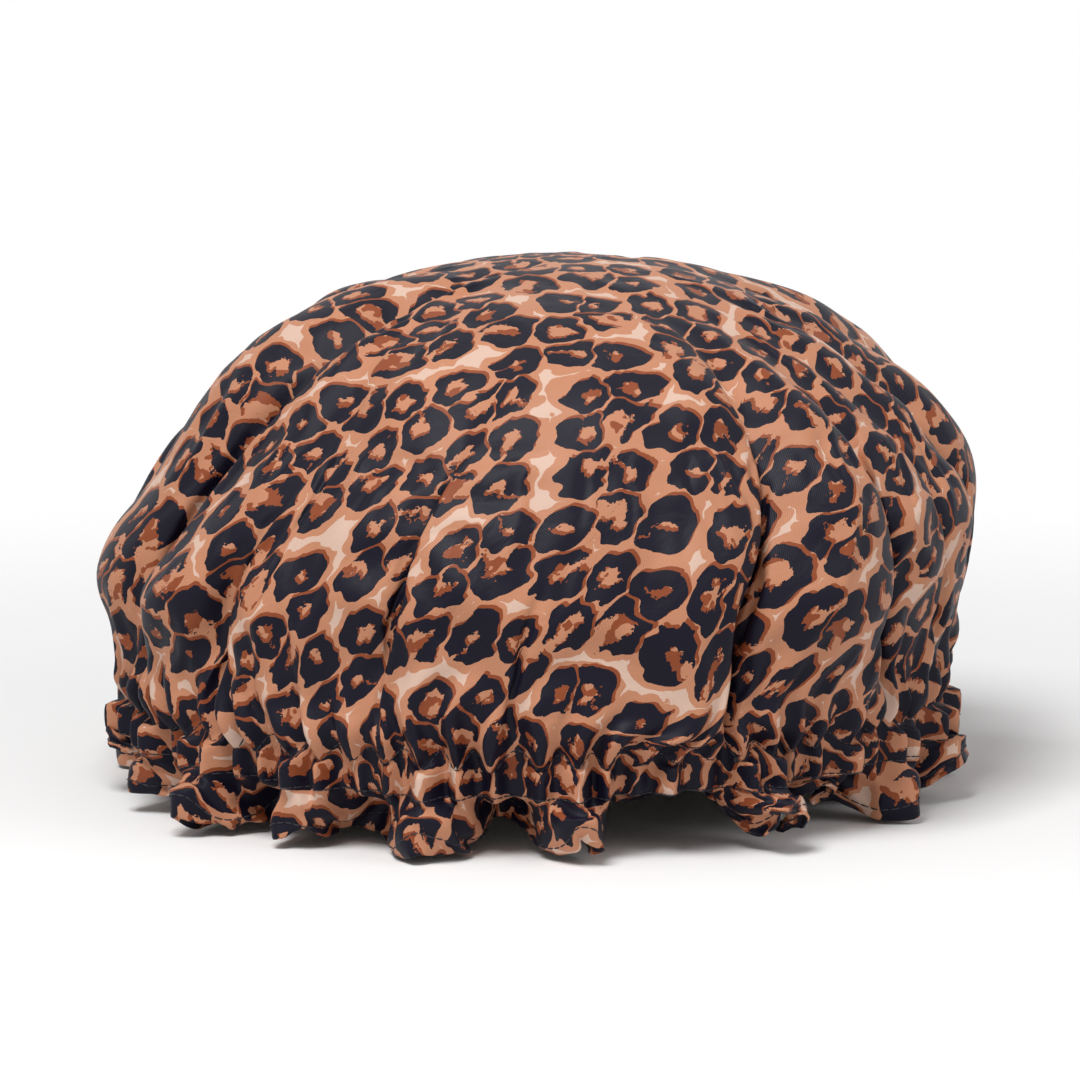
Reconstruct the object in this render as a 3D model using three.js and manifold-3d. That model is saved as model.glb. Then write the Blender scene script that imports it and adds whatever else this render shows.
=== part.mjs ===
// A frilled shower cap. One disc of printed cloth and one disc of waterproof film are gathered together by
// an elastic band, which runs in a taped channel. Above the channel the cloth puffs out into the crown, and
// below it the same cloth hangs as a frill with a turned hem. Millimetres, +Z up, standing on the frill.
import * as THREE from "three";
import Module from "manifold-3d";
import { mergeVertices } from "three/addons/utils/BufferGeometryUtils.js";

// Sizes of the whole cap
const crownHalfWidth = 138; // from the middle to the side, between the folds
const crownHalfDepth = 132; // from the middle to the front
const crownTopHeight = 170;
const crownWidestHeight = 66;
const crownLean = 9; // how far the top sits to the right of the middle
const leanHeight = 115; // where the crown has all of its lean
const overhangHeight = 40; // lowest part of the crown, where it puffs over the channel
const overhangInset = 6; // how far that part lies inside the widest one
const bandInset = 14; // how far the elastic lies inside the crown's widest part
const bandHalfWidth = crownHalfWidth - bandInset; // to the middle of the elastic
const bandHalfDepth = crownHalfDepth - bandInset;
const bandHeight = 27;

// Cloth, film, tape and elastic
const shellThickness = 0.6;
const liningThickness = 0.4;
const tapeThickness = 0.4;
const tapeWidth = 17;
const elasticWidth = 10;
const elasticThickness = 1;
const layerGap = 0.3; // between layers that touch on the real cap
const channelWidth = 14; // between the two rows of stitches that hold the elastic in
const tapeRise = 1.3; // from the elastic's edge to where the tape lifts off the lining
const channelPleat = 3; // depth of the small pleats in the channel
const pleatClearance = 0.4; // kept between the elastic and the deepest pleat

// Frill and hem
const frillReach = 15; // how far a flute swings out from the channel
const hollowReach = 15; // how far the hollow between two flutes swings in
const hollowHeight = 4; // hem of a hollow over the surface
const footFlat = 0.5; // depth of the flat where a flute stands
const hemDepth = 6.5; // from the edge to the hem's row of stitches
const liningTuck = 4.5; // how far the lining reaches into the hem below that row

// Folds of the crown
const foldDepth = 8;
const ridgeRise = 2; // how far the cloth between two folds stands out

// Thread
const threadRadius = 0.3;
const tackSwing = 5.5; // of the zigzag across the joined ends of the elastic
const tackPitch = 2.5;
const tackTurns = 4;
const tackThread = 0.5;
const lapLength = 24; // of the elastic's two ends over each other, at the back

const fullness = 0.9; // exponent of the crown's outline: 1 is an ellipse, less is fuller
const leastAlignmentShare = 0.6; // limits how far a layer's corner reaches out at a sharp bend
const overrun = 10; // how far a cutting block reaches past what it cuts

// One entry for each gather, from the left round the front to the right and back behind. The flute of the
// frill hangs at lobeDeg, and the crown's fold after it lies at foldDeg: degrees from the front, positive to
// the right. Shares: reach of the flute, lift of its hem, depth of the fold, and how far up the fold runs.
const gathers = [
  { lobeDeg: -88, reachShare: 0.75, liftShare: 0.3, foldDeg: -66, depthShare: 1, runShare: 0.85 },
  { lobeDeg: -55, reachShare: 1, liftShare: 0, foldDeg: -48, depthShare: 0.6, runShare: 0.35 },
  { lobeDeg: -40, reachShare: 0.95, liftShare: 0, foldDeg: -36, depthShare: 0.4, runShare: 0.3 },
  { lobeDeg: -25, reachShare: 0.8, liftShare: 0.1, foldDeg: -19, depthShare: 0.7, runShare: 0.5 },
  { lobeDeg: -10, reachShare: 1, liftShare: 0, foldDeg: -1, depthShare: 0.4, runShare: 0.3 },
  { lobeDeg: 5, reachShare: 1, liftShare: 0, foldDeg: 18, depthShare: 0.3, runShare: 0.4 },
  { lobeDeg: 28, reachShare: 1.1, liftShare: 0, foldDeg: 37, depthShare: 0.9, runShare: 0.7 },
  { lobeDeg: 51, reachShare: 0.9, liftShare: 0, foldDeg: 55, depthShare: 0.7, runShare: 0.6 },
  { lobeDeg: 78, reachShare: 0.9, liftShare: 0.1, foldDeg: 85, depthShare: 0.6, runShare: 0.5 },
  { lobeDeg: 103, reachShare: 1, liftShare: 0, foldDeg: 110, depthShare: 0.7, runShare: 0.4 },
  { lobeDeg: 125, reachShare: 0.9, liftShare: 0, foldDeg: 139, depthShare: 0.8, runShare: 0.6 },
  { lobeDeg: 148, reachShare: 1, liftShare: 0.1, foldDeg: 157, depthShare: 0.4, runShare: 0.3 },
  { lobeDeg: 169, reachShare: 1, liftShare: 0, foldDeg: 179, depthShare: 0.8, runShare: 0.5 },
  { lobeDeg: 191, reachShare: 0.9, liftShare: 0, foldDeg: 206, depthShare: 0.5, runShare: 0.4 },
  { lobeDeg: 215, reachShare: 1, liftShare: 0.1, foldDeg: 224, depthShare: 0.9, runShare: 0.6 },
  { lobeDeg: 242, reachShare: 0.9, liftShare: 0, foldDeg: 256, depthShare: 0.6, runShare: 0.4 },
];

// Each gather has four columns of points: its ridge, a flank, its hollow and the other flank.
const columnsPerGather = 4;
const columnCount = columnsPerGather * gathers.length;
const ridgeShares = [1, 0.65, 0, 0.65]; // 1 on the ridge, 0 in the hollow
const fullTurnDeg = 360;

const up = new THREE.Vector3(0, 0, 1);
const rad = THREE.MathUtils.degToRad;
const lerp = THREE.MathUtils.lerp;

// Column angles at the frill, where ridges are the flutes, and at the crown, where hollows are the folds
function gatherAt(index) {
  const turns = Math.floor(index / gathers.length);
  const { lobeDeg, foldDeg, ...shares } = gathers[index - turns * gathers.length];
  return { ...shares, lobeDeg: lobeDeg + turns * fullTurnDeg, foldDeg: foldDeg + turns * fullTurnDeg };
}

function columnAngles(column) {
  const index = Math.floor(column / columnsPerGather);
  const [before, here, after] = [gatherAt(index - 1), gatherAt(index), gatherAt(index + 1)];
  const frillStops = [here.lobeDeg, (here.lobeDeg + after.lobeDeg) / 2, after.lobeDeg];
  const crownStops = [(before.foldDeg + here.foldDeg) / 2, here.foldDeg, (here.foldDeg + after.foldDeg) / 2];
  const place = (2 * (column - columnsPerGather * index)) / columnsPerGather;
  const step = Math.min(Math.floor(place), 1);
  const between = (stops) => lerp(stops[step], stops[step + 1], place - step);
  return { frill: rad(between(frillStops)), crown: rad(between(crownStops)), here, after, place };
}

// A point on an upright oval, and the direction that faces straight out of it
const ovalPoint = (halfWidth, halfDepth, angle, height) =>
  new THREE.Vector3(halfWidth * Math.sin(angle), -halfDepth * Math.cos(angle), height);
const ovalOut = (halfWidth, halfDepth, angle) =>
  new THREE.Vector3(halfDepth * Math.sin(angle), -halfWidth * Math.cos(angle), 0).normalize();

const ridgeShare = (column) => ridgeShares[column % columnsPerGather];

// How deep the fold nearest this column is, at a share of the way down from the crown's top
function foldAt(column, downShare) {
  const { here } = columnAngles(column);
  const start = 1 - here.runShare;
  const fade = THREE.MathUtils.smoothstep(downShare, start, 1);
  return (1 - ridgeShare(column)) * here.depthShare * foldDepth * fade;
}

// Middle of the printed cloth on the crown, at an angle down from its top
function crownPoint(column, downAngle) {
  const { crown } = columnAngles(column);
  const spread = Math.sin(downAngle) ** fullness;
  const rise = Math.cos(downAngle) ** fullness;
  const height = lerp(crownWidestHeight, crownTopHeight - shellThickness / 2, rise);
  const point = ovalPoint(crownHalfWidth * spread, crownHalfDepth * spread, crown, height);
  point.x += crownLean * THREE.MathUtils.smoothstep(height, crownWidestHeight, leanHeight);
  const downShare = downAngle / (Math.PI / 2);
  const inward = foldAt(column, downShare) - ridgeRise * ridgeShare(column) * downShare;
  const out = ovalOut(crownHalfWidth, crownHalfDepth, crown).multiplyScalar(Math.sin(downAngle));
  out.z = Math.cos(downAngle);
  return point.addScaledVector(out, -inward);
}

function overhangPoint(column) {
  const { crown, frill } = columnAngles(column);
  const angle = (crown + frill) / 2;
  const [halfWidth, halfDepth] = [crownHalfWidth - overhangInset, crownHalfDepth - overhangInset];
  const point = ovalPoint(halfWidth, halfDepth, angle, overhangHeight);
  const inward = foldAt(column, 1) - ridgeRise * ridgeShare(column);
  return point.addScaledVector(ovalOut(crownHalfWidth, crownHalfDepth, angle), -inward);
}

// The channel's cloth lies round the elastic in small pleats.
const channelInset =
  elasticThickness / 2 + layerGap + liningThickness + layerGap + shellThickness / 2 + pleatClearance;

function channelPoint(column, height) {
  const { frill } = columnAngles(column);
  const point = ovalPoint(bandHalfWidth, bandHalfDepth, frill, height);
  const out = channelInset + channelPleat * ridgeShare(column);
  return point.addScaledVector(ovalOut(bandHalfWidth, bandHalfDepth, frill), out);
}

const channelTop = bandHeight + tapeWidth / 2;
const channelFoot = bandHeight - tapeWidth / 2;

// The hem swings out to the surface on a flute, and in and up in a hollow.
function hemPoint(column) {
  const { frill, here, after, place } = columnAngles(column);
  const lobe = place > 1 ? after : here;
  const share = ridgeShare(column);
  const height = lerp(hollowHeight, lobe.liftShare * channelFoot - footFlat, share);
  const reach = lerp(-hollowReach, frillReach * lobe.reachShare, share);
  return channelPoint(column, height).addScaledVector(ovalOut(bandHalfWidth, bandHalfDepth, frill), reach);
}

// Rings of the cloth's middle surface, from the top of the crown down to the hem. The upper ones take only every
// fourth or every second column.
const crownRings = [
  { downDeg: 26, every: 4 },
  { downDeg: 49, every: 2 },
  { downDeg: 71, every: 2 },
  { downDeg: 90, every: 2 },
];

function ringOf(every, pointOf) {
  const ring = [];
  for (let column = 0; column < columnCount; column += every) ring.push(pointOf(column));
  return ring;
}

const hemRing = ringOf(1, hemPoint);
const footRing = ringOf(1, (column) => channelPoint(column, channelFoot));
const hemRowRing = hemRing.map((point, column) => {
  const frillLength = point.distanceTo(footRing[column]);
  return point.clone().lerp(footRing[column], hemDepth / frillLength);
});
const middleRings = [
  [new THREE.Vector3(crownLean, 0, crownTopHeight - shellThickness / 2)],
  ...crownRings.map(({ downDeg, every }) => ringOf(every, (column) => crownPoint(column, rad(downDeg)))),
  ringOf(1, overhangPoint),
  ringOf(1, (column) => channelPoint(column, channelTop)),
  footRing,
  hemRowRing,
  hemRing,
];
const [topIndex, footIndex, hemRowIndex, hemIndex] = [6, 7, 8, 9];

// Triangles between two neighbouring rings of a cross-section, as [ring, point] pairs. A strip that runs upwards
// splits its quads along the same diagonal as the one that runs downwards beside it.
function stripFaces(a, b, countA, countB, upwards) {
  const faces = [];
  const at = (ring, count, point) => [ring, point % count];
  const coarse = Math.min(countA, countB);
  if (countA === countB)
    for (let i = 0; i < countA; i++) {
      const [a0, a1] = [at(a, countA, i), at(a, countA, i + 1)];
      const [b0, b1] = [at(b, countB, i), at(b, countB, i + 1)];
      if (upwards) faces.push([a0, b0, a1], [b0, b1, a1]);
      else faces.push([a0, b0, b1], [a0, b1, a1]);
    }
  else if (coarse === 1)
    for (let i = 0; i < Math.max(countA, countB); i++)
      faces.push(
        countA === 1
          ? [at(a, 1, 0), at(b, countB, i), at(b, countB, i + 1)]
          : [at(a, countA, i), at(b, 1, 0), at(a, countA, i + 1)],
      );
  else
    for (let i = 0; i < coarse; i++) {
      const finer = countB > countA;
      const [c, f, countC, countF] = finer ? [a, b, countA, countB] : [b, a, countB, countA];
      const [c0, c1] = [at(c, countC, i), at(c, countC, i + 1)];
      const [f0, f1, f2] = [0, 1, 2].map((step) => at(f, countF, 2 * i + step));
      if (finer) faces.push([c0, f0, f1], [c0, f1, c1], [c1, f1, f2]);
      else faces.push([f0, c0, f1], [c0, c1, f1], [f1, c1, f2]);
    }
  return faces;
}

// A closed body from rings listed in order round its cross-section. upwards tells which strips run upwards.
function ringSolid(rings, upwards, closed) {
  const starts = [];
  const positions = [];
  for (const ring of rings) {
    starts.push(positions.length / 3);
    for (const point of ring) positions.push(point.x, point.y, point.z);
  }
  const indices = [];
  const strips = closed ? rings.length : rings.length - 1;
  for (let a = 0; a < strips; a++) {
    const b = (a + 1) % rings.length;
    for (const face of stripFaces(a, b, rings[a].length, rings[b].length, upwards(a)))
      indices.push(...face.map(([ring, point]) => starts[ring] + point));
  }
  const geometry = new THREE.BufferGeometry();
  geometry.setAttribute("position", new THREE.Float32BufferAttribute(positions, 3));
  geometry.setIndex(indices);
  geometry.computeVertexNormals();
  return geometry;
}

// Directions that face out of the middle surface, one for each of its points. Where the surface bends they are
// longer than 1, so that a layer keeps its thickness on both sides of the bend. At the hem they lie level, so
// that all the layers end at one height.
function outwardRings(rings) {
  const surface = ringSolid(rings, () => false, false);
  const [position, normal] = [surface.getAttribute("position"), surface.getAttribute("normal")];
  const directions = [];
  for (let i = 0; i < normal.count; i++) directions.push(new THREE.Vector3().fromBufferAttribute(normal, i));
  for (const direction of directions.slice(-rings.at(-1).length)) direction.setZ(0).normalize();

  const alignments = directions.map(() => 1);
  const triangle = new THREE.Triangle();
  const faceNormal = new THREE.Vector3();
  for (let face = 0; face < surface.index.count; face += 3) {
    const corners = [0, 1, 2].map((corner) => surface.index.getX(face + corner));
    triangle.setFromAttributeAndIndices(position, ...corners);
    triangle.getNormal(faceNormal);
    for (const corner of corners)
      alignments[corner] = Math.min(alignments[corner], faceNormal.dot(directions[corner]));
  }
  directions.forEach((direction, i) => direction.divideScalar(Math.max(alignments[i], leastAlignmentShare)));

  let next = 0;
  return rings.map((ring) => ring.map(() => directions[next++]));
}

const middleOut = outwardRings(middleRings);

// The ring at an index of the middle surface, moved out by a distance; a share takes it towards the next ring.
function offsetRing(index, distance, share = 0) {
  return middleRings[index].map((point, i) => {
    const moved = point.clone().addScaledVector(middleOut[index][i], distance);
    if (share === 0) return moved;
    const next = middleRings[index + 1][i].clone().addScaledVector(middleOut[index + 1][i], distance);
    return moved.lerp(next, share);
  });
}

const offsetRings = (from, to, distance) => {
  const rings = [];
  const step = Math.sign(to - from);
  for (let index = from; index !== to + step; index += step) rings.push(offsetRing(index, distance));
  return rings;
};

// Places through the layers, measured inwards from the middle of the printed cloth
const shellInside = shellThickness / 2;
const liningOutside = shellInside + layerGap;
const liningInside = liningOutside + liningThickness;
const flapOutside = liningInside + layerGap;
const flapInside = flapOutside + shellThickness;
const tapeOutside = liningInside + layerGap;
const tapeInside = tapeOutside + tapeThickness;

// Printed cloth: down the outside, round the hem, up the flap, down into the hem's slot and up the inside
const liningEndShare = liningTuck / hemDepth;
const slotFloorShare = (liningTuck + layerGap) / hemDepth;

function shellGeometry() {
  const down = offsetRings(0, hemIndex, shellInside);
  const flap = [
    offsetRing(hemIndex, -flapInside),
    offsetRing(hemRowIndex, -flapInside),
    offsetRing(hemRowIndex, -flapOutside),
    offsetRing(hemRowIndex, -flapOutside, slotFloorShare),
    offsetRing(hemRowIndex, -shellInside, slotFloorShare),
  ];
  const inside = offsetRings(hemRowIndex, 0, -shellInside);
  const rings = [...down, ...flap, ...inside];
  const flapUp = down.length;
  const insideUp = down.length + flap.length - 1;
  return ringSolid(rings, (strip) => strip === flapUp || strip >= insideUp, false);
}

// Waterproof film: it follows the cloth and ends in the hem's slot.
function liningGeometry() {
  const outside = offsetRings(0, hemRowIndex, -liningOutside);
  const rings = [
    ...outside,
    offsetRing(hemRowIndex, -liningOutside, liningEndShare),
    offsetRing(hemRowIndex, -liningInside, liningEndShare),
    ...offsetRings(hemRowIndex, 0, -liningInside),
  ];
  return ringSolid(rings, (strip) => strip > outside.length, false);
}

// Elastic: a flat ring, doubled where its two ends are lapped at the back
const isLapped = (column) => {
  const fromBack = columnAngles(column).frill - Math.PI;
  return Math.abs(fromBack) * bandHalfDepth < lapLength / 2;
};

function bandRing(distanceOf, height) {
  return ringOf(1, (column) => {
    const { frill } = columnAngles(column);
    const out = ovalOut(bandHalfWidth, bandHalfDepth, frill);
    return ovalPoint(bandHalfWidth, bandHalfDepth, frill, height).addScaledVector(out, distanceOf(column));
  });
}

const elasticInside = (column) => -elasticThickness / 2 - (isLapped(column) ? elasticThickness : 0);

function elasticGeometry() {
  const top = bandHeight + elasticWidth / 2;
  const foot = bandHeight - elasticWidth / 2;
  const outside = () => elasticThickness / 2;
  const rings = [
    bandRing(outside, top),
    bandRing(outside, foot),
    bandRing(elasticInside, foot),
    bandRing(elasticInside, top),
  ];
  return ringSolid(rings, (strip) => strip === 2, true);
}

// Tape: its two edges are sewn to the lining above and below the elastic, and between them it bridges over the
// elastic and the tack that joins its ends.
const tackStack = layerGap + tackThread;
const bridgeDistance = (column) => elasticInside(column) - layerGap - (isLapped(column) ? tackStack : 0);
const riseShare = (tapeWidth / 2 - elasticWidth / 2 - tapeRise) / tapeWidth;

function tapeGeometry() {
  const bridgeTop = bandHeight + elasticWidth / 2 + layerGap;
  const bridgeFoot = bandHeight - elasticWidth / 2 - layerGap;
  const face = (distance, thickness) => [
    offsetRing(topIndex, -distance),
    offsetRing(topIndex, -distance, riseShare),
    bandRing((column) => bridgeDistance(column) - thickness, bridgeTop),
    bandRing((column) => bridgeDistance(column) - thickness, bridgeFoot),
    offsetRing(topIndex, -distance, 1 - riseShare),
    offsetRing(footIndex, -distance),
  ];
  const outside = face(tapeOutside, 0);
  const inside = face(tapeInside, tapeThickness).reverse();
  return ringSolid([...outside, ...inside], (strip) => strip >= outside.length, true);
}

// Thread: a ring of square section that lies along a row, on the outside or the inside of the sewn layers
function threadGeometry(index, share, distance) {
  const side = Math.sign(distance);
  const centre = offsetRing(index, distance + side * (layerGap + threadRadius), share);
  const corner = (directionOf, radius) =>
    centre.map((point, i) => point.clone().addScaledVector(directionOf(i), radius));
  const outwards = (i) => middleOut[index][i];
  const rings = [
    corner(() => up, threadRadius),
    corner(outwards, threadRadius),
    corner(() => up, -threadRadius),
    corner(outwards, -threadRadius),
  ];
  return ringSolid(rings, (strip) => strip > 1, true);
}

// Tack: a zigzag of thread over the lapped ends of the elastic, on its inner side
function tackGeometry() {
  const step = tackPitch / 2;
  const halfAcross = (tackThread / 2) * (Math.hypot(step, tackSwing) / step); // of the slanting thread, in height
  const edge = (side) => {
    const points = [];
    for (let turn = 0; turn <= tackTurns; turn++) {
      const height = (tackSwing / 2) * (turn % 2 ? -1 : 1);
      points.push(new THREE.Vector2((turn - tackTurns / 2) * step, height + side * halfAcross));
    }
    return points;
  };
  const outline = new THREE.Shape([...edge(-1), ...edge(1).reverse()]);
  const geometry = new THREE.ExtrudeGeometry(outline, { depth: tackThread, bevelEnabled: false });
  geometry.rotateX(Math.PI / 2);
  const inner = bandRing(elasticInside, bandHeight).filter((point, column) => isLapped(column));
  const bow = Math.max(...inner.map((point) => point.y)) - Math.min(...inner.map((point) => point.y));
  const lapFace = Math.max(...inner.map((point) => point.y)) - bow * (tackTurns * step / lapLength);
  geometry.translate(0, lapFace - layerGap, bandHeight);
  return geometry;
}

// The surface that the cap stands on takes a thin flat off the lowest flutes.
const wasm = await Module();
wasm.setup();

function solidOf(geometry) {
  const bare = new THREE.BufferGeometry();
  bare.setAttribute("position", geometry.getAttribute("position"));
  if (geometry.index) bare.setIndex(geometry.index);
  const merged = mergeVertices(bare);
  return new wasm.Manifold(
    new wasm.Mesh({
      numProp: 3,
      vertProperties: merged.getAttribute("position").array,
      triVerts: new Uint32Array(merged.index.array),
    }),
  );
}

function cutAtSurface(geometry) {
  const span = 2 * (crownHalfWidth + frillReach + overrun);
  const block = new THREE.BoxGeometry(span, span, overrun);
  block.translate(0, 0, -overrun / 2);
  const cut = solidOf(geometry).subtract(solidOf(block)).getMesh();
  const result = new THREE.BufferGeometry();
  result.setAttribute("position", new THREE.Float32BufferAttribute(cut.vertProperties, 3));
  result.setIndex(new THREE.BufferAttribute(cut.triVerts, 1));
  result.computeVertexNormals();
  return result;
}

const printedCloth = new THREE.MeshStandardMaterial({ color: 0xb5764f, roughness: 0.55, metalness: 0 });
const film = new THREE.MeshStandardMaterial({ color: 0xe9e6e1, roughness: 0.35, metalness: 0 });
const whiteElastic = new THREE.MeshStandardMaterial({ color: 0xe6e4df, roughness: 0.8, metalness: 0 });
const blackTape = new THREE.MeshStandardMaterial({ color: 0x1c1b20, roughness: 0.7, metalness: 0 });
const blackThread = new THREE.MeshStandardMaterial({ color: 0x141318, roughness: 0.6, metalness: 0 });

const cap = new THREE.Group();

function addPart(name, geometry, material) {
  const mesh = new THREE.Mesh(geometry, material);
  mesh.name = name;
  cap.add(mesh);
}

addPart("shell", cutAtSurface(shellGeometry()), printedCloth);
addPart("lining", liningGeometry(), film);
addPart("elastic_band", elasticGeometry(), whiteElastic);
addPart("elastic_join_tack", tackGeometry(), blackThread);
addPart("channel_tape", tapeGeometry(), blackTape);

const upperShare = (tapeWidth - channelWidth) / 2 / tapeWidth;
const rows = [
  { name: "upper_row", index: topIndex, share: upperShare, inside: tapeInside },
  { name: "lower_row", index: topIndex, share: 1 - upperShare, inside: tapeInside },
  { name: "hem", index: hemRowIndex, share: 0, inside: flapInside },
];
for (const { name, index, share, inside } of rows) {
  addPart(`${name}_needle_thread`, threadGeometry(index, share, shellInside), blackThread);
  addPart(`${name}_bobbin_thread`, threadGeometry(index, share, -inside), blackThread);
}

export default cap;
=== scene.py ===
# %% [markdown]
# # A gathered shower cap
# A shower cap is one flat disc of printed cloth with a second disc of thin film under it. Near the rim both
# are sewn to a tape, an elastic ring runs between cloth and tape, and what is left outside the ring hangs
# as a frill. This lesson makes it as a sewer would: it cuts a flat disc, gathers it on the ring, lets cloth
# physics settle the folds, and then adds the lining, the elastic, the tape and every stitch.

# %% Load the CAD frame
import math

import bpy
import numpy as np
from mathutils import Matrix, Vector, noise


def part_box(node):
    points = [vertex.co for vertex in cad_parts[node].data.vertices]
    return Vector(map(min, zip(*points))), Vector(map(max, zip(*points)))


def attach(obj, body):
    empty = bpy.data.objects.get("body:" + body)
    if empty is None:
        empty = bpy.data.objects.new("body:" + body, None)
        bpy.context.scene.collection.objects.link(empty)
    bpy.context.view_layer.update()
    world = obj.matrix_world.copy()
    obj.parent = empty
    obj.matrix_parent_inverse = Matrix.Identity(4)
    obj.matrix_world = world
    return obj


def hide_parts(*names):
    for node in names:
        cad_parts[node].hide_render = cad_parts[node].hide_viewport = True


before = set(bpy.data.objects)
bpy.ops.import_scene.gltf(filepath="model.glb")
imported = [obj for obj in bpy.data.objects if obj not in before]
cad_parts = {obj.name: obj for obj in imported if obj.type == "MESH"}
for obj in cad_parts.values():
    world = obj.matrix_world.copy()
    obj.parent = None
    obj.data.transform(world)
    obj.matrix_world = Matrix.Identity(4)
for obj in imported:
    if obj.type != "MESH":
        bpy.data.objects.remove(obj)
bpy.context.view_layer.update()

MM = 0.001

# %% Take the main sizes from the CAD nodes
band_low, band_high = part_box("elastic_band")
ELASTIC_THICKNESS = 1.0 * MM
BAND_HALF_WIDTH = round((band_high.x - band_low.x - ELASTIC_THICKNESS) / 2, 4)
BAND_HALF_DEPTH = round((band_high.y - band_low.y - ELASTIC_THICKNESS) / 2, 4)
BAND_HEIGHT = round((band_low.z + band_high.z) / 2, 4)
CROWN_TOP = 175 * MM
print("ring:", BAND_HALF_WIDTH, "by", BAND_HALF_DEPTH, "at", BAND_HEIGHT, "crown top", CROWN_TOP)

# %% [markdown]
# ## Camera
# The photograph is taken from far away with a long lens, a little above the table, so parallel lines hardly
# meet. A camera at four metres with a narrow field gives that flat view. The width that it sees at the cap
# sets the scale, and a small lift of its aim puts the cap at the same height in the square picture.

# %% Camera
SEEN_WIDTH = 345.6 * MM
CAMERA_DISTANCE = 4.0
CAMERA_RISE = math.radians(10.3)
SENSOR_MM = 36
AIM = Vector((2.3 * MM, 0, 79.7 * MM))
camera_data = bpy.data.cameras.new("camera")
camera_data.sensor_width = SENSOR_MM
camera_data.lens = SENSOR_MM * CAMERA_DISTANCE / SEEN_WIDTH
camera = bpy.data.objects.new("camera", camera_data)
bpy.context.collection.objects.link(camera)
bpy.context.scene.camera = camera
towards_camera = Vector((0, -math.cos(CAMERA_RISE), math.sin(CAMERA_RISE)))
camera.location = AIM + towards_camera * CAMERA_DISTANCE
camera.rotation_euler = (-towards_camera).to_track_quat("-Z", "Y").to_euler()
print("lens in mm:", round(camera_data.lens, 1))

# %% [markdown]
# ## The cut
# Cloth can only fold naturally if the mesh knows how much of it there is. The cut is a flat disc of rings.
# A ring has fewer points near the middle, and doubles them as it grows, so that all cells are about the
# same size. Two rings lie exactly on the rows of stitches, where the elastic will gather the cloth.

# %% Measures of the flat cut
UPPER_ROW = 236 * MM
LOWER_ROW = 250 * MM
FRILL_STEPS = np.array([3.3, 6.6, 9.9, 13.2, 16.4, 18.0, 20.5, 23.0]) * MM
TURN_EDGE, HEM_STITCH, LINING_RADIUS, HEM = LOWER_ROW + FRILL_STEPS[-4:]
RING_STEP = 4.2 * MM
CLOSEST_RING = 3 * MM
CHANNEL_RINGS = 5
POINTS_ROUND = 512
LEAST_POINTS = 16
FULL_RING = 136 * MM
print("flat radius to the hem in mm:", HEM / MM, "with", round((HEM - TURN_EDGE) / MM, 1), "turned under")


# %% A flat disc of rings
def points_at(radius):
    """How many points a ring of this radius has."""
    count, limit = POINTS_ROUND, FULL_RING
    while radius < limit and count > LEAST_POINTS:
        count, limit = count // 2, limit / 2
    return count


def cut_disc():
    """The rings as (radius, points), where each ring starts, the flat points, and the faces."""
    radii = [*np.arange(RING_STEP, UPPER_ROW - CLOSEST_RING, RING_STEP)]
    radii += [*np.linspace(UPPER_ROW, LOWER_ROW, CHANNEL_RINGS), *(LOWER_ROW + FRILL_STEPS)]
    rings = [(0.0, 1)] + [(radius, points_at(radius)) for radius in radii]
    flat, starts = [], []
    for radius, count in rings:
        starts.append(len(flat))
        turn = math.tau * np.arange(count) / count
        flat.extend(zip(radius * np.sin(turn), -radius * np.cos(turn)))
    faces = []
    for k in range(len(rings) - 1):
        faces += faces_between(starts[k], rings[k][1], starts[k + 1], rings[k + 1][1])
    return rings, starts, np.array(flat), faces


def faces_between(inner, inner_count, outer, outer_count):
    """Faces from one ring to the next, which has as many points, twice as many, or is the first."""
    if inner_count == 1:
        return [(inner, outer + i, outer + (i + 1) % outer_count) for i in range(outer_count)]
    if inner_count == outer_count:
        return band_faces(inner, outer, inner_count)
    faces = []
    for i in range(inner_count):
        a, b = inner + i, inner + (i + 1) % inner_count
        c, d, e = (outer + (2 * i + j) % outer_count for j in range(3))
        faces += [(a, c, d), (a, d, b), (b, d, e)]
    return faces


def band_faces(first, second, count):
    """Faces between two closed rows of points that start at these indices."""
    return [(first + i, second + i, second + (i + 1) % count, first + (i + 1) % count) for i in range(count)]


rings, ring_starts, flat_points, cloth_faces = cut_disc()
ring_radii = np.array([radius for radius, count in rings])
flat_radius = np.hypot(*flat_points.T)
print("points:", len(flat_points), "faces:", len(cloth_faces), "rings:", len(rings))
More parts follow.
